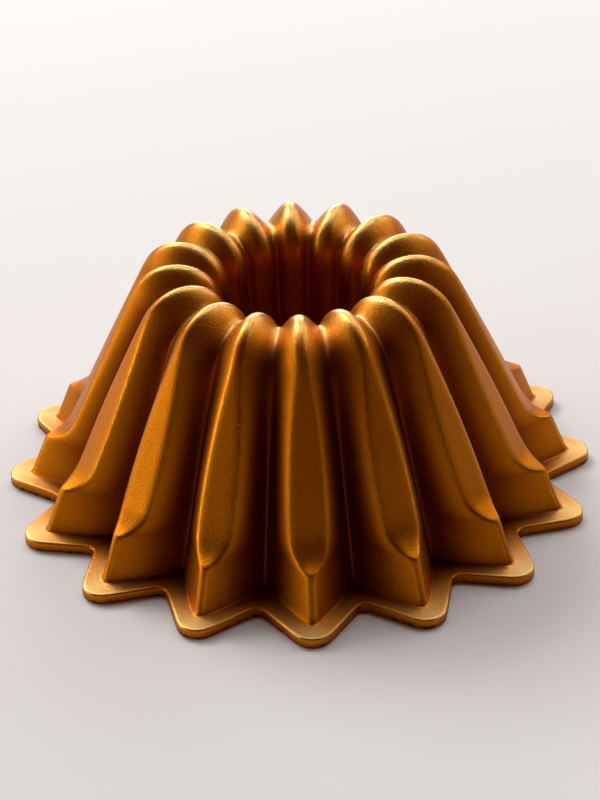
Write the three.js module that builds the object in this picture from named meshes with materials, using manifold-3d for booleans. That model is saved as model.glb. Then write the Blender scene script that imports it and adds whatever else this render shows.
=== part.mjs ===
// Fluted tube pan, standing mouth down on its star-shaped rim.
//
// The real pan is one aluminium casting. Here its regions are separate solids:
// the rim flange, one solid for each flute of the wall with its crown, and the
// tapered tube in the middle. They meet with a hair gap and never move.
//
// Millimetres, +Z up. The origin is on the pan's axis, in the plane of the rim's
// underside, and the first flute points along -Y.

import * as THREE from 'three';
import { mergeVertices } from 'three/addons/utils/BufferGeometryUtils.js';
import { ParametricGeometry } from 'three/addons/geometries/ParametricGeometry.js';
import Module from 'manifold-3d';

// Whole pan
const fluteCount = 16;
const wallThickness = 3.2;
const seamGap = 0.3;

// Rim flange
const flangeThickness = 4.7;
const flangeTipRadius = 130;
const flangeTipRounding = 9;
const flangeTipHalfAngle = THREE.MathUtils.degToRad(33);
const flangeNotchRadius = 109.6;
const flangeNotchRounding = 4;
const flangeEdgeChamfer = 0.8;

// Ridge of a flute, as radius and height: the prow, the scoop, the long facet,
// the crown and the ridge of the tube
const prowFoot = new THREE.Vector2(120.3, flangeThickness);
const prowApex = new THREE.Vector2(112.4, 23.5);
const scoopRadius = 16.6;
const crownCentre = new THREE.Vector2(51.3, 85.7);
const crownRadius = 20.9;
const facetLean = THREE.MathUtils.degToRad(25.5);
const crownTurn = THREE.MathUtils.degToRad(122);
const tubeTopRadius = 32;
const tubeEndRadius = 29.5;
const tubeEndHeight = 6;

// Half widths of the flat strip along the ridge
const noseHalfWidth = 1.4;
const facetHalfWidth = 7.7;
const crownHalfWidth = 1;
const tubeHalfWidth = 3;
const leastHalfWidth = 0.4;
const facetWidestHeight = 36;
const facetNarrowHeight = 94.5;

// Valley between two flutes: the wall, the saddle and the groove of the tube
const valleyFoot = new THREE.Vector2(93.7, flangeThickness);
const valleyLean = THREE.MathUtils.degToRad(19.5);
const saddleHeight = 98.4;
const saddleOuterRadius = 20;
const saddleInnerRadius = 9.5;
const saddleFlatEnd = 46;
const grooveEndRadius = 31.6;
const valleyFillet = 2.2;
const valleyHalfAngle = THREE.MathUtils.degToRad(42.5);
const filletShareOfWall = 0.6;

// How far a flute's side walls swell outwards, as a share of their width
const wallSwell = 0.048;

// Where the tube ends and the crowns begin, and how finely curves are stepped
const tubeJointHeight = 86;
const tubeCutRadius = 52;
const scoopSteps = 4;
const facetSteps = 4;
const crownSteps = 9;
const tubeSteps = 3;
const arcSegments = 2;

const fluteAngle = (2 * Math.PI) / fluteCount;
const halfPitch = fluteAngle / 2;
const firstFluteAngle = -Math.PI / 2;
const wallFootHeight = flangeThickness + seamGap;

const wasm = await Module();
wasm.setup();

const direction = (angle) => new THREE.Vector2(Math.cos(angle), Math.sin(angle));
const alongFrom = (start, way, distance) => start.clone().addScaledVector(way, distance);

// The point where a slanted line through start, at the given lean from upright, reaches a height
function lineAtHeight(start, lean, height) {
  return new THREE.Vector2(start.x - Math.tan(lean) * (height - start.y), height);
}

// The first point where a line from start, going along way, meets a circle
function lineMeetsCircle(start, way, centre, radius) {
  const toCentre = centre.clone().sub(start);
  const nearest = toCentre.dot(way);
  const missSquared = toCentre.lengthSq() - nearest * nearest;
  return alongFrom(start, way, nearest - Math.sqrt(radius * radius - missSquared));
}

// Shape of the ridge, in the plane through the pan's axis, at an inset below the outer face
function ridgeCurves(inset) {
  const prowWay = prowApex.clone().sub(prowFoot).normalize();
  const prowNormal = new THREE.Vector2(prowWay.y, -prowWay.x);
  const prowStart = alongFrom(prowFoot, prowNormal, -inset);
  const facetNormal = direction(facetLean);
  const facetTop = alongFrom(crownCentre, facetNormal, crownRadius);

  // The scoop is tangent to the facet and passes through the apex of the prow
  const facetWay = new THREE.Vector2(facetNormal.y, -facetNormal.x);
  const apexAside = prowApex.clone().sub(facetTop);
  const apexOut = apexAside.dot(facetNormal);
  const scoopReach = Math.sqrt(scoopRadius ** 2 - (scoopRadius - apexOut) ** 2);
  const scoopTop = alongFrom(facetTop, facetWay, apexAside.dot(facetWay) - scoopReach);
  const scoopCentre = alongFrom(scoopTop, facetNormal, scoopRadius);

  const foot = alongFrom(prowStart, prowWay, (wallFootHeight - prowStart.y) / prowWay.y);
  const apex = lineMeetsCircle(foot, prowWay, scoopCentre, scoopRadius + inset);
  const apexAngle = apex.clone().sub(scoopCentre).angle();
  const scoop = new THREE.Path();
  scoop.absarc(scoopCentre.x, scoopCentre.y, scoopRadius + inset, apexAngle, Math.PI + facetLean, true);
  const facet = new THREE.LineCurve(
    alongFrom(scoopTop, facetNormal, -inset),
    alongFrom(facetTop, facetNormal, -inset),
  );

  // A tighter arc carries the crown on into the tube
  const turnPoint = alongFrom(crownCentre, direction(crownTurn), crownRadius);
  const innerRadius = (turnPoint.x - tubeTopRadius) / (1 + Math.cos(crownTurn));
  const innerCentre = alongFrom(turnPoint, direction(crownTurn), -innerRadius);
  const crown = new THREE.Path();
  crown.absarc(crownCentre.x, crownCentre.y, crownRadius - inset, facetLean, crownTurn);
  crown.absarc(innerCentre.x, innerCentre.y, innerRadius - inset, crownTurn, Math.PI);
  const tube = new THREE.LineCurve(
    new THREE.Vector2(tubeTopRadius + inset, innerCentre.y),
    new THREE.Vector2(tubeEndRadius + inset, tubeEndHeight),
  );
  return { foot, apex, scoop, facet, crown, tube };
}

// Shape of the valley, in the same way
function valleyCurves(inset) {
  const normal = direction(valleyLean);
  const outerCentreHeight = saddleHeight - saddleOuterRadius;
  const tangent = lineAtHeight(valleyFoot, valleyLean, outerCentreHeight + saddleOuterRadius * normal.y);
  const outerCentre = alongFrom(tangent, normal, -saddleOuterRadius);
  const innerCentre = new THREE.Vector2(saddleFlatEnd, saddleHeight - saddleInnerRadius);
  const wallTop = alongFrom(tangent, normal, -inset);
  const wall = new THREE.LineCurve(lineAtHeight(wallTop, valleyLean, wallFootHeight), wallTop);
  const saddle = new THREE.Path();
  saddle.absarc(outerCentre.x, outerCentre.y, saddleOuterRadius - inset, valleyLean, Math.PI / 2);
  saddle.absarc(innerCentre.x, innerCentre.y, saddleInnerRadius - inset, Math.PI / 2, Math.PI);
  const groove = new THREE.LineCurve(
    new THREE.Vector2(saddleFlatEnd - saddleInnerRadius + inset, innerCentre.y),
    new THREE.Vector2(grooveEndRadius + inset, tubeEndHeight),
  );
  return { wall, saddle, groove };
}

function facetWidthAt(height) {
  const share = (height - facetWidestHeight) / (facetNarrowHeight - facetWidestHeight);
  const width = facetHalfWidth - (facetHalfWidth - crownHalfWidth) * share * share;
  return Math.max(width, crownHalfWidth);
}

// Over the crown the strip stays narrow, and it widens again on the way down into the tube
function crownWidthAt(share, height) {
  const overTop = 2 * share - 1;
  return overTop < 0 ? facetWidthAt(height) : THREE.MathUtils.lerp(crownHalfWidth, tubeHalfWidth, overTop);
}

// One station of a face: half of a flute's section, from the facet's edge along the swelling
// wall to the valley
function station(ridge, outerHalfWidth, valley, sharp, inset) {
  const narrowing = inset * Math.tan((Math.PI / 2 - valleyHalfAngle + halfPitch) / 2);
  const halfWidth = Math.max(outerHalfWidth - narrowing, leastHalfWidth);
  const edge = new THREE.Vector3(ridge.x, halfWidth, ridge.y);
  const onValley = (point) =>
    new THREE.Vector3(point.x * Math.cos(halfPitch), point.x * Math.sin(halfPitch), point.y);
  const corner = onValley(sharp);
  const way = edge.clone().sub(corner).normalize();
  const span = edge.distanceTo(corner);
  const toMiddle = new THREE.Vector3(ridge.x, 0, ridge.y).sub(corner);
  const outward = way.clone().multiplyScalar(toMiddle.dot(way)).sub(toMiddle).normalize();
  const onWall = (distance) => {
    const share = distance / span;
    const swell = 4 * wallSwell * span * share * (1 - share);
    return corner.clone().addScaledVector(way, distance).addScaledVector(outward, swell);
  };
  const tangentLength = (valleyFillet + inset) / Math.tan(valleyHalfAngle);
  const reach = Math.min(tangentLength, filletShareOfWall * span);
  const flank = onWall((reach + span) / 2);
  return { edge, flank, filletStart: onWall(reach), valley: onValley(valley) };
}

// All the stations of one face of the shell, from the rim over the crown to the end of the tube
function faceStations(inset) {
  const ridge = ridgeCurves(inset);
  const valley = valleyCurves(inset);
  const filletDrop = (valleyFillet + inset) * (1 / Math.sin(valleyHalfAngle) - 1);
  const sharp = valleyCurves(inset + filletDrop);
  const stations = [];
  const add = (point, halfWidth, part, share) => {
    const valleyPoint = valley[part].getPoint(share);
    const sharpPoint = sharp[part].getPoint(share);
    stations.push(station(point, halfWidth, valleyPoint, sharpPoint, inset));
  };
  const facetTopHeight = ridge.facet.v2.y;
  const wallShare = (height) => (height - wallFootHeight) / (facetTopHeight - wallFootHeight);

  add(ridge.foot, noseHalfWidth, 'wall', 0);
  for (let step = 0; step < scoopSteps; step += 1) {
    const share = step / scoopSteps;
    const point = ridge.scoop.getPoint(share);
    const width = THREE.MathUtils.lerp(noseHalfWidth, facetHalfWidth, Math.sin((share * Math.PI) / 2));
    add(point, width, 'wall', wallShare(point.y));
  }
  for (let step = 0; step < facetSteps; step += 1) {
    const point = ridge.facet.getPoint(step / facetSteps);
    add(point, facetWidthAt(point.y), 'wall', wallShare(point.y));
  }
  for (let step = 0; step < crownSteps; step += 1) {
    const share = step / crownSteps;
    const point = ridge.crown.getPoint(share);
    add(point, crownWidthAt(share, point.y), 'saddle', share);
  }
  for (let step = 0; step <= tubeSteps; step += 1) {
    const share = step / tubeSteps;
    add(ridge.tube.getPoint(share), tubeHalfWidth, 'groove', share);
  }
  return stations;
}

const outerFace = faceStations(0);
const cakeFace = faceStations(wallThickness);

// The points of a station across one flute, from its valley to just before the next valley
const fromValley = ['valley', 'filletStart', 'flank', 'edge'];
const toNextValley = ['edge', 'flank', 'filletStart'];
const pointsPerFlute = fromValley.length + toNextValley.length;
const mirrorAcross = new THREE.Vector3(1, -1, 1);

const zAxis = new THREE.Vector3(0, 0, 1);

function setOnFlute(target, stationHere, pointIndex) {
  const flute = Math.floor(pointIndex / pointsPerFlute);
  const place = pointIndex % pointsPerFlute;
  if (place < fromValley.length) {
    target.copy(stationHere[fromValley[place]]).multiply(mirrorAcross);
  } else {
    target.copy(stationHere[toNextValley[place - fromValley.length]]);
  }
  target.applyAxisAngle(zAxis, firstFluteAngle + flute * fluteAngle);
}

// The whole fluted shell: up the outside, down the tube, and back along the cake side
function shellGeometry() {
  const loop = [...outerFace, ...cakeFace.toReversed()];
  const around = fluteCount * pointsPerFlute;
  const surface = (u, v, target) => {
    const pointIndex = Math.round(u * around) % around;
    const stationIndex = Math.round(v * loop.length) % loop.length;
    setOnFlute(target, loop[stationIndex], pointIndex);
  };
  return new ParametricGeometry(surface, around, loop.length);
}

function flangeGeometry() {
  const tipCentre = flangeTipRadius - flangeTipRounding;
  const tipTurn = Math.PI / 2 - flangeTipHalfAngle;
  const notchCentre = flangeNotchRadius + flangeNotchRounding;
  const notchTurn = tipTurn - halfPitch;
  const outline = new THREE.Shape();
  for (let flute = 0; flute < fluteCount; flute += 1) {
    const tip = firstFluteAngle + flute * fluteAngle;
    const notch = tip + halfPitch;
    const tipAt = direction(tip).multiplyScalar(tipCentre);
    const notchAt = direction(notch).multiplyScalar(notchCentre);
    const back = notch + Math.PI;
    outline.absarc(tipAt.x, tipAt.y, flangeTipRounding, tip - tipTurn, tip + tipTurn);
    outline.absarc(notchAt.x, notchAt.y, flangeNotchRounding, back + notchTurn, back - notchTurn, true);
  }
  outline.closePath();

  // The mouth follows the foot of the cake side
  const mouth = [];
  const corner = new THREE.Vector3();
  for (let index = 0; index < fluteCount * pointsPerFlute; index += 1) {
    setOnFlute(corner, cakeFace[0], index);
    mouth.push(new THREE.Vector2(corner.x, corner.y));
  }
  outline.holes.push(new THREE.Path(mouth));
  const geometry = new THREE.ExtrudeGeometry(outline, {
    depth: flangeThickness - 2 * flangeEdgeChamfer,
    curveSegments: arcSegments,
    bevelThickness: flangeEdgeChamfer,
    bevelSize: flangeEdgeChamfer,
    bevelOffset: -flangeEdgeChamfer,
    bevelSegments: 1,
  });
  return geometry.translate(0, 0, flangeEdgeChamfer);
}

// A wedge that takes one flute out of the shell, short of both valleys by half the gap
function wedgeGeometry(flute) {
  const setBack = seamGap / 2 / Math.sin(halfPitch);
  const halfSpread = (flangeTipRadius - setBack) * Math.tan(halfPitch);
  const outline = new THREE.Shape();
  outline.moveTo(setBack, 0);
  outline.lineTo(flangeTipRadius, -halfSpread);
  outline.lineTo(flangeTipRadius, halfSpread);
  const geometry = new THREE.ExtrudeGeometry(outline, { depth: 2 * saddleHeight, bevelEnabled: false });
  return geometry.rotateZ(firstFluteAngle + flute * fluteAngle);
}

// A plug that reaches from below the tube up to a height
function plugGeometry(topHeight) {
  const plug = new THREE.CylinderGeometry(tubeCutRadius, tubeCutRadius, 2 * topHeight, fluteCount);
  return plug.rotateX(Math.PI / 2);
}

function toSolid(geometry) {
  const bare = geometry.clone();
  bare.deleteAttribute('normal');
  bare.deleteAttribute('uv');
  const merged = mergeVertices(bare);
  const mesh = new wasm.Mesh({
    numProp: 3,
    vertProperties: new Float32Array(merged.attributes.position.array),
    triVerts: new Uint32Array(merged.index.array),
  });
  return new wasm.Manifold(mesh);
}

function toGeometry(solid) {
  const mesh = solid.getMesh();
  const geometry = new THREE.BufferGeometry();
  geometry.setAttribute('position', new THREE.BufferAttribute(mesh.vertProperties, 3));
  geometry.setIndex(new THREE.BufferAttribute(mesh.triVerts, 1));
  geometry.computeVertexNormals();
  return geometry;
}

const goldFinish = new THREE.MeshStandardMaterial({ color: 0xc8871e, roughness: 0.38, metalness: 1 });

const pan = new THREE.Group();
pan.name = 'fluted_tube_pan';

function addPart(name, geometry) {
  const part = new THREE.Mesh(geometry, goldFinish.clone());
  part.name = name;
  pan.add(part);
}

const shell = toSolid(shellGeometry());
const belowTubeJoint = toSolid(plugGeometry(tubeJointHeight - seamGap));
const belowCrowns = toSolid(plugGeometry(tubeJointHeight));
const wallAndCrowns = shell.subtract(belowCrowns);

addPart('rim_flange', toGeometry(toSolid(flangeGeometry())));
for (let flute = 0; flute < fluteCount; flute += 1) {
  const cut = wallAndCrowns.intersect(toSolid(wedgeGeometry(flute)));
  addPart(`flute_${String(flute + 1).padStart(2, '0')}`, toGeometry(cut));
}
addPart('centre_tube', toGeometry(shell.intersect(belowTubeJoint)));

export default pan;
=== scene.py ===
"""A gold fluted tube pan, standing mouth down on its star-shaped rim.

The casting is made in three pieces that meet without a visible seam: the rim, the fluted
wall and the centre tube. Each is a closed course of rows that runs along the outside and
back along the cake side. A row covers half of one flute: it runs from the ridge, or a point
of the rim, to the valley or notch beside it. A grid takes the rows, is mirrored into a whole
flute and turned round the axis, and subdivision rounds it like a casting. Marks on the rows
tell the coats where the casting is rubbed or chipped, where shade is painted into its colour,
and where handling shows, which gives gloss and a paler colour that is partly painted highlight.
"""

import math
from dataclasses import dataclass

import bmesh
import bpy
from bpy.props import FloatProperty, FloatVectorProperty, IntProperty, PointerProperty
from bpy.types import NodeSocket, Operator, Panel, PropertyGroup
from mathutils import Euler, Matrix, Vector


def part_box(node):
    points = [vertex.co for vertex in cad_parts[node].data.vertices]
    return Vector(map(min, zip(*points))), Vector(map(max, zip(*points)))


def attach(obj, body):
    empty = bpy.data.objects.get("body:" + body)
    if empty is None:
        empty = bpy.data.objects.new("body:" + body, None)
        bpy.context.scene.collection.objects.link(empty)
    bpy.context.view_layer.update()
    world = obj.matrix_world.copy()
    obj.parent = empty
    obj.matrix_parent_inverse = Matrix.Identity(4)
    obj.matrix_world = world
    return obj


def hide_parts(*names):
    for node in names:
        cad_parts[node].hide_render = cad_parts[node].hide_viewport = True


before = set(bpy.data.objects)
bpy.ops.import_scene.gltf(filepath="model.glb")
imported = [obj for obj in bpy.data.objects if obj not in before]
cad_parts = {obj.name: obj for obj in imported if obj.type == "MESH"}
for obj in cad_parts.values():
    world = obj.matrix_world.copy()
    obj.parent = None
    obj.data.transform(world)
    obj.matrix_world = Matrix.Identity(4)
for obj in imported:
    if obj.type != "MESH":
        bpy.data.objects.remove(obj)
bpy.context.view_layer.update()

bl_info = {
    "name": "Fluted Tube Pan",
    "version": (1, 0, 0),
    "blender": (4, 5, 0),
    "location": "View3D > Sidebar > Tube Pan",
    "description": "Builds a cast fluted tube pan and its studio",
    "category": "Add Mesh",
}

MM = 0.001
BODY = "root"

# Points of the casting that are closer than this become one
MERGE_DISTANCE = 1e-6

# Where the points of a row stand along its stretches
HALVES = (0, 0.5, 1)
THIRDS = (0, 0.33, 0.67, 1)

# The column of a fluted row that lies on the facet's edge, after those of the facet
EDGE_COLUMN = len(HALVES)

# The least half width of a facet, and the most that roundings take of it and of a side wall
LEAST_HALF_WIDTH = 0.4 * MM
FACET_ROUNDING_SHARE = 0.8
WALL_ROUNDING_SHARE = 0.2
WALL_FILLET_SHARE = 0.55

# How far the rounding draws a facet's edge in
EDGE_SOFTNESS = 0.4

# Where rows stand along a stretch, as shares of it
PROW_MIDDLE = 0.55
SCOOP_ROWS = (0.09, 0.3, 0.55, 0.8)
FACET_LAST_ROW = 0.86
TUBE_ROWS = (0.4, 0.75)
CAKE_FACET_FIRST_ROW = 0.8
CAKE_SCOOP_ROWS = (0.7, 0.4, 0.15)
CAKE_PROW_ROWS = (0.85, 0.2)

# Marks on the casting, which the coats read: rubbing and chips, shade painted into the colour, and
# handling, which is partly painted highlight
RUBBED = "rubbed_edge"
CHIPPED = "chipped_edge"
PAINTED_SHADE = "painted_shade"
HANDLED_AND_HIGHLIGHT = "handled_and_highlight"

# How strong the shade painted into the colour is beside the prow, from its foot up to its apex
PROW_SHADE_DEPTHS = (0.56, 0.58, 0.72, 0.86)
APEX_SHADE_DEPTH = 0.92

# How far over the saddle the valley's painted shade reaches, and how strong the painted shade is in a
# rim notch
VALLEY_SHADE_END = 1 / 3
NOTCH_SHADE_DEPTH = 0.42

# Noise on the coats, in waves to the metre, and how fine flecks are beside the grain
PATCH_WAVES = 28
CHIP_WAVES = 380
SCUFF_WAVES = 450
SPECK_WAVES = 1700
FLECK_FINENESS = 0.9

# Kinds of socket on the node groups
VALUE = "NodeSocketFloat"
COLOUR = "NodeSocketColor"

# Tints of the lamps
WHITE_LIGHT = (1, 1, 1)
WARM_LIGHT = (1, 0.75, 0.5)

_, rim_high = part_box("rim_flange")
tube_low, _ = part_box("centre_tube")
flute_names = sorted(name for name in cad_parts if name.startswith("flute_"))


def length(name, description, default):
    """A property that holds a length in metres."""
    return FloatProperty(
        name=name,
        description=description,
        default=default,
        unit="LENGTH",
        subtype="DISTANCE",
        precision=5,
    )


def angle(name, description, degrees):
    """A property that holds an angle, with its default in degrees."""
    return FloatProperty(
        name=name,
        description=description,
        default=math.radians(degrees),
        unit="ROTATION",
        subtype="ANGLE",
    )


def colour(name, description, default):
    """A property that holds a colour."""
    return FloatVectorProperty(
        name=name,
        description=description,
        default=default,
        size=3,
        min=0,
        max=1,
        subtype="COLOR",
    )


def factor(name, description, default):
    """A property that holds a share between 0 and 1."""
    return FloatProperty(
        name=name,
        description=description,
        default=default,
        min=0,
        max=1,
        subtype="FACTOR",
    )


class TubePanSizes(PropertyGroup):
    """Driving dimensions of the casting."""

    flute_count: IntProperty(
        name="Flutes",
        description="Flutes round the pan",
        default=len(flute_names),
    )
    wall: length("Wall", "Thickness of the cast wall", 3.2 * MM)
    rim_thickness: length("Rim thickness", "Thickness of the rim flange", rim_high.z)
    rim_tip_radius: length("Rim point radius", "From the axis to a point of the rim", rim_high.x)
    rim_tip_rounding: length("Rim point rounding", "Rounding of a point of the rim", 9 * MM)
    rim_tip_half_angle: angle("Rim point half angle", "Half the angle of a point of the rim", 33)
    rim_notch_radius: length("Rim notch radius", "From the axis to a notch of the rim", 109.6 * MM)
    rim_notch_rounding: length("Rim notch rounding", "Rounding of a notch of the rim", 4 * MM)
    rim_edge_rounding: length("Rim edge rounding", "Rounding of the rim's top edge", 1.5 * MM)
    foot_fillet: length("Foot fillet", "Fillet between the wall and the rim", 1.1 * MM)
    lip_rounding: length("Lip rounding", "Rounding of the mouth and of the tube's end", 1.2 * MM)

    prow_foot_radius: length("Prow foot radius", "Radius of the prow at the rim", 120.3 * MM)
    prow_apex_radius: length("Prow apex radius", "Radius of the prow at its top", 112.4 * MM)
    prow_apex_height: length("Prow apex height", "Height of the prow", 23.5 * MM)
    scoop_radius: length("Scoop radius", "Radius of the scoop above the prow", 16.6 * MM)
    crown_centre_radius: length("Crown centre radius", "Radius of the crown arc's centre", 51.3 * MM)
    crown_centre_height: length("Crown centre height", "Height of the crown arc's centre", 85.7 * MM)
    crown_radius: length("Crown radius", "Radius of the crown arc", 20.9 * MM)
    crown_turn: angle("Crown turn", "Where the crown arc tightens towards the tube", 122)
    facet_lean: angle("Facet lean", "Lean of the long facet from upright", 25.5)

    nose_half_width: length("Nose half width", "Half width of the prow's edge", 1.4 * MM)
    facet_half_width: length("Facet half width", "Half of the facet's greatest width", 7.7 * MM)
    crown_half_width: length("Crown half width", "Half width of the ridge over the crown", 1.6 * MM)
    tube_half_width: length("Tube half width", "Half width of a ridge inside the tube", 3 * MM)
    facet_widest_height: length("Facet widest height", "Height where the facet is widest", 36 * MM)
    facet_narrow_height: length("Facet narrow height", "Height where the facet is narrow", 94.5 * MM)
    edge_rounding: length("Edge rounding", "Rounding along the facet's edges", 2.3 * MM)

    valley_foot_radius: length("Valley foot radius", "Radius of the valley at the rim", 93.7 * MM)
    valley_lean: angle("Valley lean", "Lean of the valley from upright", 19.5)
    valley_half_angle: angle("Valley half angle", "Half the angle between two flutes", 42.5)
    valley_fillet: length("Valley fillet", "Fillet in the bottom of a valley", 2.2 * MM)
    wall_swell: factor("Wall swell", "How far a side wall swells out, as a share of its width", 0.048)
    saddle_height: length("Saddle height", "Height of the saddle between two crowns", 98.4 * MM)
    saddle_outer_radius: length("Saddle outer radius", "Arc from the valley to the saddle", 20 * MM)
    saddle_inner_radius: length("Saddle inner radius", "Arc from the saddle to the groove", 9.5 * MM)
    saddle_spread: factor("Saddle spread", "How much broader the fillet is on the saddle", 0.5)
    saddle_flat_end: length("Saddle flat end", "Radius where the saddle turns down", 46 * MM)

    tube_top_radius: length("Tube top radius", "Radius of the tube's ridges at the top", 32 * MM)
    tube_end_radius: length("Tube end radius", "Radius of the tube's ridges at its end", 29.5 * MM)
    groove_end_radius: length("Groove end radius", "Radius of the grooves at the tube's end", 31.6 * MM)
    tube_end_height: length("Tube end height", "Height of the tube's end", tube_low.z)
    tube_seam_share: factor("Tube seam", "Where the tube piece begins, down from the crowns", 0.08)


class TubePanFinish(PropertyGroup):
    """Colours and gloss of the coats."""

    gold: colour("Gold", "Colour of the coat outside", (0.565, 0.16, 0.0015))
    # Painted shade: the coat goes towards this colour in recesses, and also in random darker patches
    shade_and_patch_gold: colour("Deep gold", "Colour of the coat in recesses and patches", (0.19, 0.03, 0.0004))
    worn_gold: colour("Worn gold", "Colour of the coat along rubbed edges", (0.72, 0.35, 0.02))
    # Where handling shows, the coat goes paler towards this colour: partly wear from handling, partly
    # painted highlight on the rim, the crowns, the saddles and the wall's foot
    burnished_highlight_gold: colour("Burnished gold", "Colour of the coat where handled", (0.70, 0.52, 0.17))
    burnish_highlight: factor("Burnish", "How much of the burnished gold shows where handled", 0.65)
    chipped: colour("Chipped", "Colour where the coat is chipped at the rim", (0.06, 0.03, 0.012))
    release: colour("Release coat", "Colour of the coat on the cake side", (0.42, 0.16, 0.012))
    # Painted shade on the cake side: the release coat goes towards this colour in recesses, and also in
    # random darker patches
    shade_and_patch_release: colour("Deep release", "Colour of the release coat in recesses", (0.30, 0.10, 0.006))
    worn_release: colour("Worn release", "Colour of the release coat where rubbed", (0.60, 0.30, 0.05))
    roughness: factor("Roughness", "Roughness of the coat outside", 0.48)
    release_roughness: factor("Release roughness", "Roughness of the coat on the cake side", 0.42)
    handled_gloss: factor("Handled gloss", "How much clear gloss the coat has where handled", 0.6)
    gloss_roughness: factor("Gloss roughness", "Roughness of the clear gloss", 0.3)
    grain_size: length("Grain size", "Size of the coat's fine grain", 0.7 * MM)
    grain_height: length("Grain height", "Height of the coat's fine grain", 0.15 * MM)


class TubePanStudio(PropertyGroup):
    """Floor, lamps and camera."""

    floor_half_width: length("Floor half width", "From the axis to the sides of the floor", 6.0)
    floor_colour: colour("Floor", "Colour of the floor", (0.93, 0.93, 0.93))
    floor_roughness: factor("Floor roughness", "Roughness of the floor", 0.9)
    room: colour("Room", "Colour and brightness of the dim room", (0.065, 0.02, 0.006))
    lamp_distance: length("Lamp distance", "From the pan's foot to the lamps", 4.0)
    camera_distance: length("Camera distance", "From the point looked at to the camera", 0.9818)
    camera_elevation: angle("Camera elevation", "Height of the camera above the horizon", 32.176)
    camera_azimuth: angle("Camera azimuth", "Turn of the camera round the pan", -1.517)
    camera_roll: angle("Camera roll", "Tilt of the camera about its axis", -1.588)
    camera_lens: FloatProperty(
        name="Lens",
        description="Focal length in millimetres",
        default=100.05,
        subtype="DISTANCE_CAMERA",
    )
    aim_height: length("Aim height", "Height of the point looked at", 36.4 * MM)
    aim_aside: length("Aim aside", "How far right of the axis the camera looks", 0.66 * MM)


def on_line(start, end, share):
    """The point a share of the way from start to end."""
    return start.lerp(end, share)


def on_arc(centre, radius, turn):
    """The point of an arc at a turn from the first axis."""
    return centre + radius * Vector((math.cos(turn), math.sin(turn)))


def blend(first, second, share):
    """The number a share of the way from first to second."""
    return first + (second - first) * share


def arch(share):
    """Rises from 0 to 1 at the middle, and falls to 0 again."""
    return 4 * share * (1 - share)


def steps(first, last, count):
    """Evenly spaced shares, both ends included."""
    return [blend(first, last, step / (count - 1)) for step in range(count)]


class Ridge:
    """Course of a flute's ridge, as radius and height, at an inset below the outer face."""

    def __init__(self, sizes, inset):
        self.sizes = sizes
        self.inset = inset

        # The prow leans in from the rim
        foot = Vector((sizes.prow_foot_radius, sizes.rim_thickness))
        apex = Vector((sizes.prow_apex_radius, sizes.prow_apex_height))
        self.prow_way = (apex - foot).normalized()
        prow_normal = Vector((self.prow_way.y, -self.prow_way.x))
        self.prow_foot = foot - inset * prow_normal

        # The facet touches the crown's arc at its top, and the scoop's arc at its start
        self.crown_centre = Vector((sizes.crown_centre_radius, sizes.crown_centre_height))
        facet_normal = on_arc(Vector((0, 0)), 1, sizes.facet_lean)
        facet_way = Vector((facet_normal.y, -facet_normal.x))
        facet_top = self.crown_centre + sizes.crown_radius * facet_normal
        apex_out = (apex - facet_top).dot(facet_normal)
        reach = math.sqrt(sizes.scoop_radius**2 - (sizes.scoop_radius - apex_out) ** 2)
        scoop_top = facet_top + ((apex - facet_top).dot(facet_way) - reach) * facet_way
        self.scoop_centre = scoop_top + sizes.scoop_radius * facet_normal
        self.facet_start = scoop_top - inset * facet_normal
        self.facet_end = facet_top - inset * facet_normal

        # The apex at this inset is where the prow meets the scoop
        to_centre = self.scoop_centre - self.prow_foot
        nearest = to_centre.dot(self.prow_way)
        scoop_radius = sizes.scoop_radius + inset
        miss_squared = to_centre.length_squared - nearest**2
        prow_length = nearest - math.sqrt(scoop_radius**2 - miss_squared)
        self.apex = self.prow_foot + prow_length * self.prow_way
        from_centre = self.apex - self.scoop_centre
        self.apex_turn = math.atan2(from_centre.y, from_centre.x) % math.tau

        # Past its turn the crown tightens, and it ends upright in the tube
        turn_point = on_arc(self.crown_centre, sizes.crown_radius, sizes.crown_turn)
        turn_reach = turn_point.x - sizes.tube_top_radius
        self.inner_radius = turn_reach / (1 + math.cos(sizes.crown_turn))
        self.inner_centre = on_arc(turn_point, -self.inner_radius, sizes.crown_turn)
        self.tube_start = Vector((sizes.tube_top_radius + inset, self.inner_centre.y))
        self.tube_end = Vector((sizes.tube_end_radius + inset, sizes.tube_end_height))

    def prow(self, height):
        """The prow's point at a height."""
        return self.prow_foot + (height - self.prow_foot.y) / self.prow_way.y * self.prow_way

    def scoop(self, share):
        """A point of the scoop, from the apex up to the facet."""
        turn = blend(self.apex_turn, math.pi + self.sizes.facet_lean, share)
        return on_arc(self.scoop_centre, self.sizes.scoop_radius + self.inset, turn)

    def facet(self, share):
        """A point of the facet, from the scoop up to the crown."""
        return on_line(self.facet_start, self.facet_end, share)

    def crown(self, share):
        """A point of the crown, from the facet over to the tube."""
        turn = blend(self.sizes.facet_lean, math.pi, share)
        if turn < self.sizes.crown_turn:
            return on_arc(self.crown_centre, self.sizes.crown_radius - self.inset, turn)
        return on_arc(self.inner_centre, self.inner_radius - self.inset, turn)

    def tube(self, share):
        """A point of the ridge in the tube, from the crown down to the tube's end."""
        return on_line(self.tube_start, self.tube_end, share)


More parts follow.
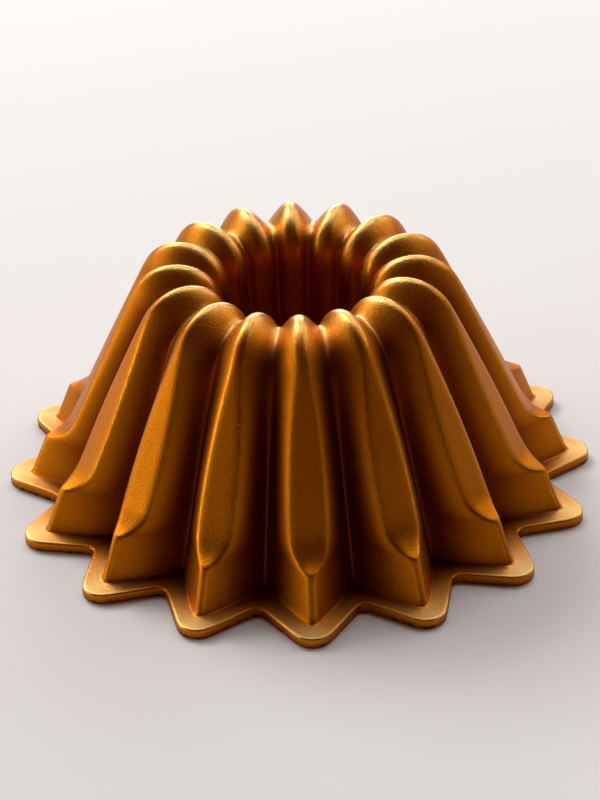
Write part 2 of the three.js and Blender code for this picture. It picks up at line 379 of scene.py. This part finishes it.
class Valley:
    """Course of the valley beside a flute, as radius and height, at an inset below the face."""

    def __init__(self, sizes, inset):
        self.sizes = sizes
        self.inset = inset
        normal = on_arc(Vector((0, 0)), 1, sizes.valley_lean)
        tangent_height = sizes.saddle_height - sizes.saddle_outer_radius * (1 - normal.y)
        rise = tangent_height - sizes.rim_thickness
        tangent_radius = sizes.valley_foot_radius - math.tan(sizes.valley_lean) * rise
        tangent = Vector((tangent_radius, tangent_height))
        self.outer_centre = tangent - sizes.saddle_outer_radius * normal
        self.wall_top = tangent - inset * normal
        inner_height = sizes.saddle_height - sizes.saddle_inner_radius
        self.inner_centre = Vector((sizes.saddle_flat_end, inner_height))
        groove_top = sizes.saddle_flat_end - sizes.saddle_inner_radius
        self.groove_start = Vector((groove_top + inset, inner_height))
        self.groove_end = Vector((sizes.groove_end_radius + inset, sizes.tube_end_height))

    def wall(self, share):
        """A point of the valley's wall, from the rim up to the saddle."""
        height = blend(self.sizes.rim_thickness, self.wall_top.y, share)
        aside = math.tan(self.sizes.valley_lean) * (self.wall_top.y - height)
        return Vector((self.wall_top.x + aside, height))

    def saddle(self, share):
        """A point of the saddle, from the wall over to the groove."""
        turn = blend(self.sizes.valley_lean, math.pi, share)
        if turn < math.pi / 2:
            return on_arc(self.outer_centre, self.sizes.saddle_outer_radius - self.inset, turn)
        return on_arc(self.inner_centre, self.sizes.saddle_inner_radius - self.inset, turn)

    def groove(self, share):
        """A point of the groove in the tube, from the saddle down to the tube's end."""
        return on_line(self.groove_start, self.groove_end, share)


class Face:
    """One face of the shell, which gives rows of points from a flute's middle to its valley."""

    def __init__(self, sizes, inset=0.0):
        self.sizes = sizes
        self.half_pitch = math.pi / sizes.flute_count
        fillet = sizes.valley_fillet + inset
        drop = fillet * (1 / math.sin(sizes.valley_half_angle) - 1)
        self.fillet_reach = fillet / math.tan(sizes.valley_half_angle)
        self.ridge = Ridge(sizes, inset)
        self.valley = Valley(sizes, inset)

        # Where two side walls would meet without the fillet
        self.sharp_valley = Valley(sizes, inset + drop)

        # How much narrower a facet is at this inset
        corner_angle = math.pi / 2 - sizes.valley_half_angle + self.half_pitch
        self.narrowing = inset * math.tan(corner_angle / 2)

    def on_valley(self, point):
        """A radius and height, as a point in the middle of the valley."""
        across = point.x * math.sin(self.half_pitch)
        return Vector((point.x * math.cos(self.half_pitch), across, point.y))

    def row(self, point, outer_half_width, stretch, share, spread=0):
        """Points from the ridge to the valley; stretch and share say where in the valley."""
        half_width = max(outer_half_width - self.narrowing, LEAST_HALF_WIDTH)
        edge = Vector((point.x, half_width, point.y))
        corner = self.on_valley(stretch(self.sharp_valley, share))
        bottom = self.on_valley(stretch(self.valley, share))
        middle = Vector((point.x, 0, point.y))
        span = (edge - corner).length
        way = (corner - edge) / span
        outward = (way * way.dot(middle - corner) - (middle - corner)).normalized()

        def on_wall(distance):
            swell = self.sizes.wall_swell * span * arch(distance / span)
            return edge + distance * way + swell * outward

        rounding = min(self.sizes.edge_rounding, FACET_ROUNDING_SHARE * half_width)
        near = min(self.sizes.edge_rounding, WALL_ROUNDING_SHARE * span)
        far = span - min((1 + spread) * self.fillet_reach, WALL_FILLET_SHARE * span)
        inner = half_width - rounding
        facet = [Vector((point.x, part * inner, point.y)) for part in HALVES]
        wall = [on_wall(blend(near, far, part)) for part in THIRDS]
        chord_middle = facet[-1].lerp(wall[0], 0.5)
        rounded_edge = edge.lerp(chord_middle, EDGE_SOFTNESS)
        return [*facet, rounded_edge, *wall, bottom]

    def wall_share(self, height):
        """How far up the wall a height is, from the rim to the crown."""
        foot = self.sizes.rim_thickness
        return (height - foot) / (self.ridge.facet_end.y - foot)

    def facet_width(self, height):
        """Half width of the facet at a height."""
        low, high = self.sizes.facet_widest_height, self.sizes.facet_narrow_height
        share = (height - low) / (high - low)
        width = blend(self.sizes.facet_half_width, self.sizes.crown_half_width, share**2)
        return max(width, self.sizes.crown_half_width)

    def prow_row(self, height):
        """The row across the prow at a height."""
        point = self.ridge.prow(height)
        return self.row(point, self.sizes.nose_half_width, Valley.wall, self.wall_share(height))

    def apex_row(self):
        """The row across the prow's top."""
        point = self.ridge.apex
        return self.row(point, self.sizes.nose_half_width, Valley.wall, self.wall_share(point.y))

    def scoop_row(self, share):
        """A row across the scoop, which widens from the prow to the facet."""
        point = self.ridge.scoop(share)
        widening = math.sin(share * math.pi / 2)
        width = blend(self.sizes.nose_half_width, self.sizes.facet_half_width, widening)
        return self.row(point, width, Valley.wall, self.wall_share(point.y))

    def facet_row(self, share):
        """A row across the long facet."""
        point = self.ridge.facet(share)
        return self.row(point, self.facet_width(point.y), Valley.wall, self.wall_share(point.y))

    def crown_row(self, share):
        """A row across the crown and the saddle beside it."""
        point = self.ridge.crown(share)
        over_top = 2 * share - 1
        if over_top < 0:
            width = self.facet_width(point.y)
        else:
            width = blend(self.sizes.crown_half_width, self.sizes.tube_half_width, over_top)
        spread = self.sizes.saddle_spread * math.sin(math.pi * share)
        return self.row(point, width, Valley.saddle, share, spread)

    def tube_row(self, share):
        """A row across a ridge and groove of the tube."""
        return self.row(self.ridge.tube(share), self.sizes.tube_half_width, Valley.groove, share)


def rim_row(sizes, inset, height):
    """A row on the star outline of the rim, from a point of the star to a notch."""
    half_pitch = math.pi / sizes.flute_count
    tip_turn = math.pi / 2 - sizes.rim_tip_half_angle
    notch_turn = tip_turn - half_pitch
    tip_centre = Vector((sizes.rim_tip_radius - sizes.rim_tip_rounding, 0))
    notch_reach = sizes.rim_notch_radius + sizes.rim_notch_rounding
    notch_centre = on_arc(Vector((0, 0)), notch_reach, half_pitch)
    tip_radius = sizes.rim_tip_rounding - inset
    notch_radius = sizes.rim_notch_rounding + inset
    back = math.pi + half_pitch
    tip = [on_arc(tip_centre, tip_radius, part * tip_turn) for part in THIRDS]
    notch = [on_arc(notch_centre, notch_radius, back + part * notch_turn) for part in reversed(HALVES)]
    side = [on_line(tip[-1], notch[0], part) for part in THIRDS[1:-1]]
    return [Vector((point.x, point.y, height)) for point in (*tip, *side, *notch)]


@dataclass
class Row:
    """One row of points, with what is marked on it; the marks are shares from 0 to 1."""

    points: list
    # On the line where two pieces meet
    seam: bool = False
    # The faces after this row carry the release coat
    cake_side: bool = False
    # Across a flute, and not along the rim's outline
    fluted: bool = True
    # How rubbed and how chipped it is
    rubbed: float = 0
    chipped: float = 0
    # How strongly shade is painted into the colour towards the valley
    hollow: float = 1
    # How much handling the ridge shows, which gives gloss and a paler colour that is partly painted
    # highlight, and how much less the valley and the sides show, which paints them darker
    handled_and_highlight: float = 0
    fade: float = 0
    dull_sides: float = 0
    # How rubbed a flute's sides are
    rubbed_sides: float = 0

    def marks(self, column):
        """How rubbed and chipped the casting is at a column of the row, how much shade is painted
        there, and how much handling shows, which is partly painted highlight.
        """
        last = len(self.points) - 1
        # Shade is painted stronger towards the valley, or round a notch of the rim
        if self.fluted:
            hidden = max(column - EDGE_COLUMN, 0) / (last - EDGE_COLUMN)
            painted_shade = self.hollow * hidden
        else:
            hidden = column / last
            painted_shade = max(self.hollow, NOTCH_SHADE_DEPTH * hidden)
        if not self.fluted or column < EDGE_COLUMN:
            rubbed = self.rubbed
        elif column == EDGE_COLUMN:
            rubbed = 1
        else:
            rubbed = self.rubbed_sides
        # Handling, partly painted highlight, shows less towards the valley and on the sides, which
        # paints them darker
        side = 1 - abs(2 * hidden - 1)
        shine = (1 - self.fade * hidden) * (1 - self.dull_sides * side)
        return {
            RUBBED: rubbed,
            CHIPPED: self.chipped,
            PAINTED_SHADE: painted_shade,
            HANDLED_AND_HIGHLIGHT: self.handled_and_highlight * shine,
        }


# What is marked on like rows of the rim, the tube and the cake side: shade is painted on the rim's side
# and lower edge, round its notches, in the tube's grooves and in the cake side's valleys, and the rim's
# top and the wall's foot show handling, which is partly painted highlight
RIM_FOOT = {"seam": True, "handled_and_highlight": 0.8, "fade": 0.8}
RIM_TOP = {"fluted": False, "hollow": 0, "handled_and_highlight": 1, "fade": 0.8}
RIM_SIDE = {"fluted": False, "hollow": 0.1}
RIM_LOWER_EDGE = {"fluted": False, "hollow": 0.4, "chipped": 1}
RIM_UNDERSIDE = {"fluted": False, "hollow": 0}
TUBE_TOP = {"hollow": 0.1, "rubbed": 0.6}
TUBE = {"hollow": 0.2, "rubbed": 1}
CAKE = {"cake_side": True}


def crown_marks(share):
    """What is marked on a row of the crown: the valley's painted shade fades out over the saddle, and
    it is touched most on its top, where the handling it shows is partly painted highlight.
    """
    touched = math.sin(math.pi * share)
    return {
        "hollow": max(1 - share / VALLEY_SHADE_END, 0),
        "handled_and_highlight": 0.7 * touched,
        "dull_sides": 0.7,
        "rubbed": touched,
        "rubbed_sides": 0.8 * touched,
    }


class Course:
    """The rows of one closed piece."""

    def __init__(self):
        self.rows = []

    def add(self, points, **marked):
        """Adds a row, with what is marked on it."""
        self.rows.append(Row(points, **marked))


def rim_course(sizes):
    """Rows of the rim: out along its top, down its side, and back below to the mouth."""
    outer = Face(sizes, -sizes.foot_fillet)
    cake = Face(sizes, sizes.wall)
    lip = Face(sizes, sizes.wall - sizes.lip_rounding)
    top, rounding = sizes.rim_thickness, sizes.rim_edge_rounding
    course = Course()
    course.add(outer.prow_row(top), **RIM_FOOT)
    course.add(rim_row(sizes, 2 * rounding, top), **RIM_TOP)
    course.add(rim_row(sizes, rounding, top), **RIM_TOP)
    course.add(rim_row(sizes, 0, top), **RIM_TOP, rubbed=1)
    course.add(rim_row(sizes, 0, top - rounding), **RIM_SIDE)
    course.add(rim_row(sizes, 0, 0.5 * rounding), **RIM_LOWER_EDGE)
    course.add(rim_row(sizes, 0, 0), **RIM_LOWER_EDGE)
    course.add(rim_row(sizes, 0.5 * rounding, 0), **RIM_UNDERSIDE)
    course.add(lip.prow_row(0), **CAKE)
    course.add(cake.prow_row(0), **CAKE)
    course.add(cake.prow_row(sizes.lip_rounding), **CAKE)
    course.add(cake.prow_row(top), seam=True, **CAKE)
    return course


def wall_course(sizes):
    """Rows of the fluted wall: up the outside, over the crowns, and back on the cake side."""
    foot = Face(sizes, -sizes.foot_fillet)
    outer = Face(sizes)
    cake = Face(sizes, sizes.wall)
    top = sizes.rim_thickness
    apex = sizes.prow_apex_height
    seam = sizes.tube_seam_share
    prow_heights = (
        top,
        top + sizes.foot_fillet,
        blend(top, apex, PROW_MIDDLE),
        apex - sizes.edge_rounding,
    )
    course = Course()
    course.add(foot.prow_row(top), **RIM_FOOT)
    # Shade is painted beside the prow, strongest at its apex
    for height, hollow in zip(prow_heights, PROW_SHADE_DEPTHS):
        course.add(outer.prow_row(height), hollow=hollow)
    course.add(outer.apex_row(), hollow=APEX_SHADE_DEPTH)
    for share in SCOOP_ROWS:
        course.add(outer.scoop_row(share))
    for share in steps(0, FACET_LAST_ROW, count=5):
        course.add(outer.facet_row(share))
    for share in steps(0, 1, count=11):
        course.add(outer.crown_row(share), **crown_marks(share))
    course.add(outer.tube_row(0.5 * seam), **TUBE_TOP)
    course.add(outer.tube_row(seam), seam=True, **TUBE)

    course.add(cake.tube_row(seam), seam=True, **CAKE)
    course.add(cake.tube_row(0.5 * seam), **CAKE)
    for share in steps(1, 0, count=9):
        course.add(cake.crown_row(share), **CAKE)
    for share in steps(CAKE_FACET_FIRST_ROW, 0, count=4):
        course.add(cake.facet_row(share), **CAKE)
    for share in CAKE_SCOOP_ROWS:
        course.add(cake.scoop_row(share), **CAKE)
    course.add(cake.apex_row(), **CAKE)
    for share in CAKE_PROW_ROWS:
        course.add(cake.prow_row(blend(top, cake.ridge.apex.y, share)), **CAKE)
    course.add(cake.prow_row(top), seam=True, **CAKE)
    return course


def tube_course(sizes):
    """Rows of the tube: down its inside, round its end, and up on the cake side."""
    outer = Face(sizes)
    middle = Face(sizes, 0.5 * sizes.wall)
    cake = Face(sizes, sizes.wall)
    seam = sizes.tube_seam_share
    tube_length = outer.ridge.tube_start.y - sizes.tube_end_height
    lip_share = 1 - sizes.lip_rounding / tube_length
    shares = (1.5 * seam, *TUBE_ROWS, lip_share, 1)
    course = Course()
    course.add(outer.tube_row(seam), seam=True, **TUBE)
    for share in shares:
        course.add(outer.tube_row(share), **TUBE)
    course.add(middle.tube_row(1))
    for share in reversed(shares):
        course.add(cake.tube_row(share), **CAKE)
    course.add(cake.tube_row(seam), seam=True, **CAKE)
    return course


def casting_mesh(name, course, flute_count):
    """Turns a course of rows into a closed mesh, all the way round the axis."""
    columns = len(course.rows[0].points)
    bm = bmesh.new()
    seam_layer = bm.verts.layers.float.new("seam")
    mark_layers = {mark: bm.verts.layers.float.new(mark) for mark in course.rows[0].marks(0)}

    # The grid's last row of points lies on its first, which closes the course
    bmesh.ops.create_grid(bm, x_segments=columns - 1, y_segments=len(course.rows), size=1)
    bm.verts.ensure_lookup_table()
    for index, vert in enumerate(bm.verts):
        row_index = (index // columns) % len(course.rows)
        column = index % columns
        row = course.rows[row_index]
        vert.co = row.points[column]
        vert[seam_layer] = row_index + 1 if row.seam else 0
        for mark, value in row.marks(column).items():
            vert[mark_layers[mark]] = value
    for index, face in enumerate(bm.faces):
        row = course.rows[index // (columns - 1)]
        face.material_index = 1 if row.cake_side else 0
        face.smooth = True

    half = bm.verts[:] + bm.edges[:] + bm.faces[:]
    bmesh.ops.mirror(
        bm,
        geom=half,
        matrix=Matrix.Identity(4),
        merge_dist=MERGE_DISTANCE,
        axis="Y",
    )
    to_front = Matrix.Rotation(-math.pi / 2, 3, "Z")
    bmesh.ops.rotate(bm, verts=bm.verts[:], cent=(0, 0, 0), matrix=to_front)
    pitch = math.tau / flute_count
    bmesh.ops.spin(
        bm,
        geom=bm.verts[:] + bm.edges[:] + bm.faces[:],
        cent=(0, 0, 0),
        axis=(0, 0, 1),
        angle=math.tau - pitch,
        steps=flute_count - 1,
        use_duplicate=True,
    )
    bmesh.ops.remove_doubles(bm, verts=bm.verts[:], dist=MERGE_DISTANCE)
    bmesh.ops.recalc_face_normals(bm, faces=bm.faces[:])

    # Edges along a seam stay sharp, so that the next piece meets them
    crease_layer = bm.edges.layers.float.new("crease_edge")
    for edge in bm.edges:
        first, second = (vert[seam_layer] for vert in edge.verts)
        if first and first == second:
            edge[crease_layer] = 1
            edge.smooth = False
    mesh = bpy.data.meshes.new(name)
    bm.to_mesh(mesh)
    bm.free()
    return mesh


def add_casting(name, course, sizes, nodes):
    """Adds a coated piece of the casting, which replaces its solids."""
    mesh = casting_mesh(name, course, sizes.flute_count)
    piece = bpy.data.objects.new(name, mesh)
    bpy.context.scene.collection.objects.link(piece)
    mesh.materials.append(gold_coat())
    mesh.materials.append(release_coat())
    rounding = piece.modifiers.new("Rounding", "SUBSURF")
    rounding.levels = 1
    rounding.render_levels = 1
    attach(piece, BODY)
    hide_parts(*nodes)


class Bench:
    """Adds nodes to a tree, and gives them sockets, numbers or colours."""

    def __init__(self, tree):
        self.nodes = tree.nodes
        self.links = tree.links

    def give(self, socket, value):
        """Links a socket to another one, or sets its own number or colour."""
        if isinstance(value, NodeSocket):
            self.links.new(value, socket)
        else:
            socket.default_value = value

    def calculate(self, operation, first, second):
        """A Math node."""
        node = self.nodes.new("ShaderNodeMath")
        node.operation = operation
        self.give(node.inputs[0], first)
        self.give(node.inputs[1], second)
        return node.outputs["Value"]

    def noise(self, waves, detail):
        """Noise on Object coordinates, with so many waves to the metre."""
        place = self.nodes.new("ShaderNodeTexCoord")
        node = self.nodes.new("ShaderNodeTexNoise")
        node.inputs["Detail"].default_value = detail
        self.links.new(place.outputs["Object"], node.inputs["Vector"])
        self.give(node.inputs["Scale"], waves)
        return node.outputs["Fac"]

    def ramp(self, value, start, full, most=1, least=0):
        """Rises smoothly from least to most while the value goes from start to full."""
        node = self.nodes.new("ShaderNodeMapRange")
        node.interpolation_type = "SMOOTHSTEP"
        node.inputs["From Min"].default_value = start
        node.inputs["From Max"].default_value = full
        node.inputs["To Min"].default_value = least
        node.inputs["To Max"].default_value = most
        self.links.new(value, node.inputs["Value"])
        return node.outputs["Result"]

    def mix(self, mask, first, second):
        """Goes from the first colour to the second as the mask rises."""
        node = self.nodes.new("ShaderNodeMix")
        node.data_type = "RGBA"
        self.links.new(mask, node.inputs["Factor"])
        self.give(node.inputs["A"], first)
        self.give(node.inputs["B"], second)
        return node.outputs["Result"]

    def mark(self, name):
        """One of the marks on the casting."""
        node = self.nodes.new("ShaderNodeAttribute")
        node.attribute_name = name
        return node.outputs["Fac"]

    def group(self, tree, given):
        """A node group, with what its inputs are given."""
        node = self.nodes.new("ShaderNodeGroup")
        node.node_tree = tree
        for name, value in given.items():
            self.give(node.inputs[name], value)
        return node.outputs


def opaque(rgb):
    """A colour with full alpha, as a socket takes it."""
    return (*rgb, 1)


def new_material(name):
    """A material, with a bench for its tree and its Principled shader."""
    material = bpy.data.materials.new(name)
    material.use_nodes = True
    return material, Bench(material.node_tree), material.node_tree.nodes["Principled BSDF"]


def new_group(name, inputs, outputs):
    """A node group, with a bench for its tree and its named sockets as seen from inside."""
    tree = bpy.data.node_groups.new(name, "ShaderNodeTree")
    for socket, kind in inputs.items():
        tree.interface.new_socket(socket, in_out="INPUT", socket_type=kind)
    for socket, kind in outputs.items():
        tree.interface.new_socket(socket, in_out="OUTPUT", socket_type=kind)
    given = tree.nodes.new("NodeGroupInput").outputs
    result = tree.nodes.new("NodeGroupOutput").inputs
    return tree, Bench(tree), given, result


def cast_grain():
    """Fine grain of a sprayed coat: its height, and a roughness with smoother flecks and edges."""
    name = "cast_grain"
    if name in bpy.data.node_groups:
        return bpy.data.node_groups[name]
    inputs = {"Grain Size": VALUE, "Roughness": VALUE, "Rubbed": VALUE}
    outputs = {"Height": VALUE, "Roughness": VALUE}
    tree, bench, given, result = new_group(name, inputs, outputs)
    fineness = bench.calculate("DIVIDE", 1, given["Grain Size"])
    bench.give(result["Height"], bench.noise(fineness, detail=1))
    flecks = bench.noise(bench.calculate("MULTIPLY", fineness, FLECK_FINENESS), detail=2)
    glint = bench.ramp(flecks, start=0.45, full=0.75, most=0.1)
    worn_smooth = bench.ramp(given["Rubbed"], start=0.4, full=1, most=0.16)
    polish = bench.calculate("MAXIMUM", glint, worn_smooth)
    bench.give(result["Roughness"], bench.calculate("SUBTRACT", given["Roughness"], polish))
    return tree


def coat_tone():
    """Tone of a coat: painted shade in recesses, deeper in random patches, paler on specks and rubbed
    edges.
    """
    name = "coat_tone"
    if name in bpy.data.node_groups:
        return bpy.data.node_groups[name]
    inputs = {"Coat": COLOUR, "Deep": COLOUR, "Worn": COLOUR, "Painted Shade": VALUE, "Rubbed": VALUE}
    tree, bench, given, result = new_group(name, inputs, {"Colour": COLOUR})
    specks = bench.ramp(bench.noise(SPECK_WAVES, detail=1), start=0.45, full=0.8, most=0.3)
    speckled = bench.mix(specks, given["Coat"], given["Worn"])
    patches = bench.ramp(bench.noise(PATCH_WAVES, detail=3), start=0.4, full=0.75, most=0.12)
    # Shade painted into the colour in recesses, joined with random darker patches; the Deep colour
    # carries both
    hollow = bench.ramp(given["Painted Shade"], start=0.05, full=0.65)
    shade_and_patches = bench.calculate("MAXIMUM", patches, hollow)
    toned = bench.mix(shade_and_patches, speckled, given["Deep"])
    scuffs = bench.ramp(bench.noise(SCUFF_WAVES, detail=2), start=0.35, full=0.7, most=0.5, least=0.1)
    rubbed = bench.ramp(given["Rubbed"], start=0.45, full=1)
    wear = bench.calculate("MULTIPLY", scuffs, rubbed)
    bench.give(result["Colour"], bench.mix(wear, toned, given["Worn"]))
    return tree


def add_grain(bench, shader, roughness):
    """Puts the fine grain on a coat's shader."""
    finish = bpy.context.scene.tube_pan_finish
    given = {
        "Grain Size": finish.grain_size,
        "Roughness": roughness,
        "Rubbed": bench.mark(RUBBED),
    }
    grain = bench.group(cast_grain(), given)
    bump = bench.nodes.new("ShaderNodeBump")
    bump.inputs["Distance"].default_value = finish.grain_height
    bench.give(bump.inputs["Height"], grain["Height"])
    bench.give(shader.inputs["Normal"], bump.outputs["Normal"])
    bench.give(shader.inputs["Roughness"], grain["Roughness"])


def add_tone(bench, coat, shade_and_patches, worn):
    """Puts the tone of a coat in a material, with its painted shade in recesses, and gives its colour.
    """
    given = {
        "Coat": opaque(coat),
        "Deep": opaque(shade_and_patches),
        "Worn": opaque(worn),
        "Painted Shade": bench.mark(PAINTED_SHADE),
        "Rubbed": bench.mark(RUBBED),
    }
    return bench.group(coat_tone(), given)["Colour"]


def gold_coat():
    """The coat outside: glossy where handling shows, and paler there towards the burnished gold, partly
    wear from handling and partly painted highlight; painted shade in recesses; chipped at the rim's
    lower edge.
    """
    name = "gold_coat"
    if name in bpy.data.materials:
        return bpy.data.materials[name]
    finish = bpy.context.scene.tube_pan_finish
    material, bench, shader = new_material(name)
    shader.inputs["Metallic"].default_value = 1
    shader.inputs["Coat Roughness"].default_value = finish.gloss_roughness
    add_grain(bench, shader, finish.roughness)

    handled_and_highlight = bench.mark(HANDLED_AND_HIGHLIGHT)
    gloss = bench.ramp(handled_and_highlight, start=0, full=1, most=finish.handled_gloss)
    bench.give(shader.inputs["Coat Weight"], gloss)
    toned = add_tone(bench, finish.gold, finish.shade_and_patch_gold, finish.worn_gold)
    # Where handling shows, the colour goes paler: partly wear from handling, partly painted highlight
    polish = bench.ramp(handled_and_highlight, start=0.3, full=1, most=finish.burnish_highlight)
    burnished = bench.mix(polish, toned, opaque(finish.burnished_highlight_gold))

    spots = bench.ramp(bench.noise(CHIP_WAVES, detail=2), start=0.54, full=0.64)
    edge = bench.ramp(bench.mark(CHIPPED), start=0.3, full=0.9)
    chips = bench.calculate("MULTIPLY", spots, edge)
    chipped = bench.mix(chips, burnished, opaque(finish.chipped))
    bench.give(shader.inputs["Base Color"], chipped)
    return material


def release_coat():
    """The coat on the cake side: a plainer satin gold, with painted shade in its recesses."""
    name = "release_coat"
    if name in bpy.data.materials:
        return bpy.data.materials[name]
    finish = bpy.context.scene.tube_pan_finish
    material, bench, shader = new_material(name)
    shader.inputs["Metallic"].default_value = 1
    add_grain(bench, shader, finish.release_roughness)
    toned = add_tone(bench, finish.release, finish.shade_and_patch_release, finish.worn_release)
    bench.give(shader.inputs["Base Color"], toned)
    return material


class TUBEPAN_OT_rim_flange(Operator):
    """Cast the star-shaped rim flange"""

    bl_idname = "tube_pan.rim_flange"
    bl_label = "Rim Flange"

    def execute(self, context):
        sizes = context.scene.tube_pan_sizes
        add_casting("cast_rim_flange", rim_course(sizes), sizes, ["rim_flange"])
        return {"FINISHED"}


class TUBEPAN_OT_fluted_wall(Operator):
    """Cast the fluted wall with its crowns"""

    bl_idname = "tube_pan.fluted_wall"
    bl_label = "Fluted Wall"

    def execute(self, context):
        sizes = context.scene.tube_pan_sizes
        add_casting("cast_fluted_wall", wall_course(sizes), sizes, flute_names)
        return {"FINISHED"}


class TUBEPAN_OT_centre_tube(Operator):
    """Cast the tube in the middle"""

    bl_idname = "tube_pan.centre_tube"
    bl_label = "Centre Tube"

    def execute(self, context):
        sizes = context.scene.tube_pan_sizes
        add_casting("cast_centre_tube", tube_course(sizes), sizes, ["centre_tube"])
        return {"FINISHED"}


def add_lamp(name, azimuth, elevation, width, height, brightness, tint=WHITE_LIGHT):
    """Hangs a soft panel that faces the pan, with its angles in degrees.

    The azimuth is 0 at the front and grows to the right. The brightness is that of the
    panel's face, so a larger panel gives more light.
    """
    lamp = bpy.data.lights.new(name, "AREA")
    lamp.shape = "RECTANGLE"
    lamp.size = width
    lamp.size_y = height
    lamp.energy = brightness * math.pi * width * height
    lamp.color = tint
    holder = bpy.data.objects.new(name, lamp)
    turn = Euler((math.pi / 2 - math.radians(elevation), 0, math.radians(azimuth)))
    holder.rotation_euler = turn
    holder.location = bpy.context.scene.tube_pan_studio.lamp_distance * turn.to_matrix().col[2]
    bpy.context.scene.collection.objects.link(holder)


def add_lamps():
    """Hangs the lamps, most of them behind the pan and to its left."""
    add_lamp("back_low_panel", azimuth=180, elevation=9, width=2.3, height=1.2, brightness=5.4)
    add_lamp("back_left_panel", azimuth=-147, elevation=39, width=1.8, height=1.4, brightness=8.6)
    add_lamp("left_back_panel", azimuth=-117, elevation=28, width=1.9, height=1.5, brightness=3.2)
    add_lamp("back_right_panel", azimuth=128, elevation=26, width=3.0, height=1.6, brightness=2.0)
    add_lamp("back_panel", azimuth=160, elevation=34, width=1.1, height=0.9, brightness=3.0)
    add_lamp("left_panel", azimuth=-90, elevation=10, width=2.2, height=1.2, brightness=3.7)
    add_lamp("right_panel", azimuth=90, elevation=22, width=2.4, height=1.8, brightness=0.2)
    add_lamp("right_high_panel", azimuth=102, elevation=46, width=1.8, height=1.4, brightness=1.3)
    add_lamp("high_panel", azimuth=175, elevation=60, width=3.6, height=2.0, brightness=2.3)
    add_lamp(
        "front_left_panel",
        azimuth=-52,
        elevation=20,
        width=2.2,
        height=1.8,
        brightness=0.15,
        tint=WARM_LIGHT,
    )


def add_floor(studio):
    """Lays the pale floor under the rim."""
    bm = bmesh.new()
    bmesh.ops.create_grid(bm, x_segments=1, y_segments=1, size=studio.floor_half_width)
    mesh = bpy.data.meshes.new("floor")
    bm.to_mesh(mesh)
    bm.free()
    floor = bpy.data.objects.new("floor", mesh)
    bpy.context.scene.collection.objects.link(floor)
    material, _, shader = new_material("pale_floor")
    shader.inputs["Roughness"].default_value = studio.floor_roughness
    shader.inputs["Specular IOR Level"].default_value = 0
    shader.inputs["Base Color"].default_value = opaque(studio.floor_colour)
    mesh.materials.append(material)


def add_camera(studio):
    """Sets the camera at the photograph's viewing angle."""
    camera = bpy.data.cameras.new("camera")
    camera.lens = studio.camera_lens
    holder = bpy.data.objects.new("camera", camera)
    bpy.context.scene.collection.objects.link(holder)
    turn = Euler((math.pi / 2 - studio.camera_elevation, 0, studio.camera_azimuth)).to_matrix()
    turn = turn @ Matrix.Rotation(studio.camera_roll, 3, "Z")
    aim = Vector((studio.aim_aside, 0, studio.aim_height))
    holder.location = aim + studio.camera_distance * turn.col[2]
    holder.rotation_euler = turn.to_euler()
    bpy.context.scene.camera = holder


def add_room(studio):
    """Fills the room with its dim light."""
    world = bpy.data.worlds.new("room")
    world.use_nodes = True
    background = world.node_tree.nodes["Background"]
    background.inputs["Color"].default_value = opaque(studio.room)
    bpy.context.scene.world = world


class TUBEPAN_OT_stage(Operator):
    """Set the floor, the lamps and the camera"""

    bl_idname = "tube_pan.stage"
    bl_label = "Stage"

    def execute(self, context):
        studio = context.scene.tube_pan_studio
        add_room(studio)
        add_floor(studio)
        add_camera(studio)
        add_lamps()
        context.scene.view_settings.view_transform = "Standard"
        return {"FINISHED"}


class TUBEPAN_PT_sidebar(Panel):
    """Lists the steps that build the pan and its studio"""

    bl_idname = "TUBEPAN_PT_sidebar"
    bl_label = "Tube Pan"
    bl_space_type = "VIEW_3D"
    bl_region_type = "UI"
    bl_category = "Tube Pan"

    def draw(self, context):
        for operator in OPERATORS:
            self.layout.operator(operator.bl_idname)


OPERATORS = (
    TUBEPAN_OT_rim_flange,
    TUBEPAN_OT_fluted_wall,
    TUBEPAN_OT_centre_tube,
    TUBEPAN_OT_stage,
)
CLASSES = (TubePanSizes, TubePanFinish, TubePanStudio, *OPERATORS, TUBEPAN_PT_sidebar)


def register():
    """Registers the classes, and gives the scene its properties."""
    for cls in CLASSES:
        bpy.utils.register_class(cls)
    bpy.types.Scene.tube_pan_sizes = PointerProperty(type=TubePanSizes)
    bpy.types.Scene.tube_pan_finish = PointerProperty(type=TubePanFinish)
    bpy.types.Scene.tube_pan_studio = PointerProperty(type=TubePanStudio)


def unregister():
    """Takes the properties and the classes away again."""
    del bpy.types.Scene.tube_pan_sizes
    del bpy.types.Scene.tube_pan_finish
    del bpy.types.Scene.tube_pan_studio
    for cls in reversed(CLASSES):
        bpy.utils.unregister_class(cls)


def main():
    """Builds the stage and the pan."""
    register()
    bpy.ops.tube_pan.stage()
    bpy.ops.tube_pan.rim_flange()
    bpy.ops.tube_pan.fluted_wall()
    bpy.ops.tube_pan.centre_tube()


if __name__ == "__main__":
    main()
